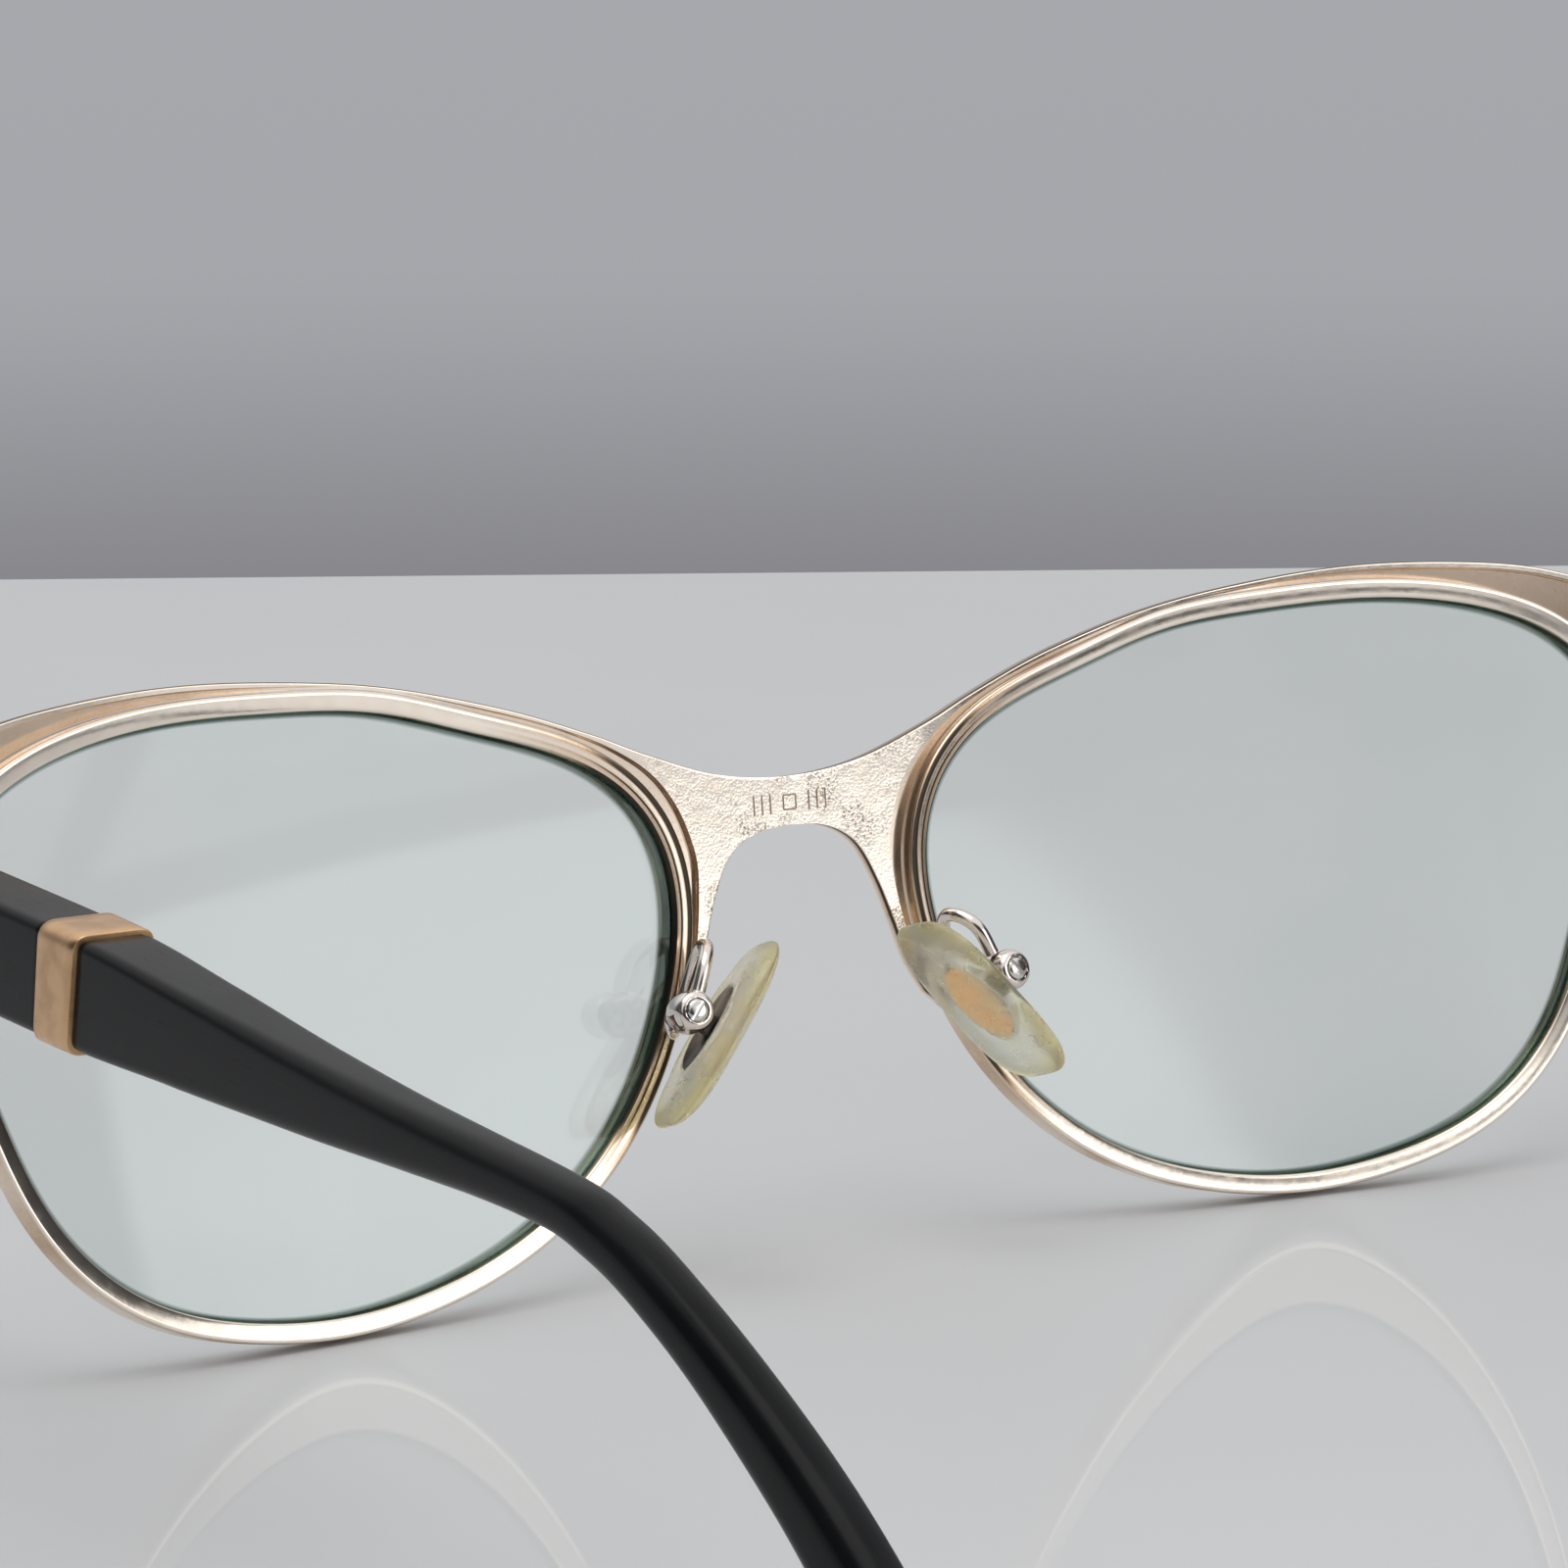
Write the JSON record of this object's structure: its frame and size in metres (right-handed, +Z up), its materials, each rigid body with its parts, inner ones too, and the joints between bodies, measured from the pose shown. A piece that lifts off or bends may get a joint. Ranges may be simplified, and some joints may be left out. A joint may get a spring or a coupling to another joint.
{
  "type": "eyeglasses",
  "caption": "Full-rim gold metal eyeglasses with a stamped brow-and-bridge plate, clear lenses, black folding temples with gold bands and rocking nose pads.",
  "frame": {"origin": "middle of the glasses' box at the surface they stand on, temples open", "axes": "+X to the wearer's left, across the front; +Y backwards along the open temples; +Z up; the front faces -Y"},
  "size_m": [0.137, 0.1328, 0.0395],
  "materials": {
    "gold": "polished pale champagne gold plating, fine sand-textured grain on the bridge's back",
    "steel": "bright rose-silver hinge, pad-arm and screw metal",
    "acetate": "polished black acetate",
    "pad_plastic": "translucent yellowed soft plastic",
    "lens": "clear, with a slight green tint"
  },
  "bodies": {
    "front": {"front_plate": "gold", "eyewire_left": "gold", "lens_left": "lens", "rim_lock_upper_left": "gold", "rim_lock_lower_left": "gold", "rim_screw_left": "steel", "pad_arm_left": "steel", "pad_box_left": "steel", "pad_screw_left": "steel", "endpiece_left": "gold", "hinge_front_left": "steel", "hinge_screw_left": "steel", "eyewire_right": "gold", "lens_right": "lens", "rim_lock_upper_right": "gold", "rim_lock_lower_right": "gold", "rim_screw_right": "steel", "pad_arm_right": "steel", "pad_box_right": "steel", "pad_screw_right": "steel", "endpiece_right": "gold", "hinge_front_right": "steel", "hinge_screw_right": "steel"},
    "temple_left": {"hinge_temple_left": "steel", "temple_head_left": "acetate", "temple_band_left": "gold", "temple_arm_left": "acetate", "temple_core_left": "steel"},
    "nose_pad_left": {"nose_pad_left": "pad_plastic", "pad_mount_left": "steel"},
    "temple_right": {"hinge_temple_right": "steel", "temple_head_right": "acetate", "temple_band_right": "gold", "temple_arm_right": "acetate", "temple_core_right": "steel"},
    "nose_pad_right": {"nose_pad_right": "pad_plastic", "pad_mount_right": "steel"}
  },
  "joints": [
    {"name": "temple_left_fold", "type": "hinge", "parent": "front", "child": "temple_left", "pos_m": [0.06235, -0.05052, 0.03133], "axis": [0, 0, 1], "range_deg": [0, 90]},
    {"name": "temple_right_fold", "type": "hinge", "parent": "front", "child": "temple_right", "pos_m": [-0.06235, -0.05052, 0.03133], "axis": [0, 0, -1], "range_deg": [0, 80]},
    {"name": "nose_pad_left_rock", "type": "hinge", "parent": "front", "child": "nose_pad_left", "pos_m": [0.0114, -0.05658, 0.01756], "axis": [0.1273, 0.9419, 0.3109], "range_deg": [-10, 10]},
    {"name": "nose_pad_right_rock", "type": "hinge", "parent": "front", "child": "nose_pad_right", "pos_m": [-0.0114, -0.05658, 0.01756], "axis": [-0.1273, 0.9419, 0.3109], "range_deg": [-10, 10]}
  ]
}
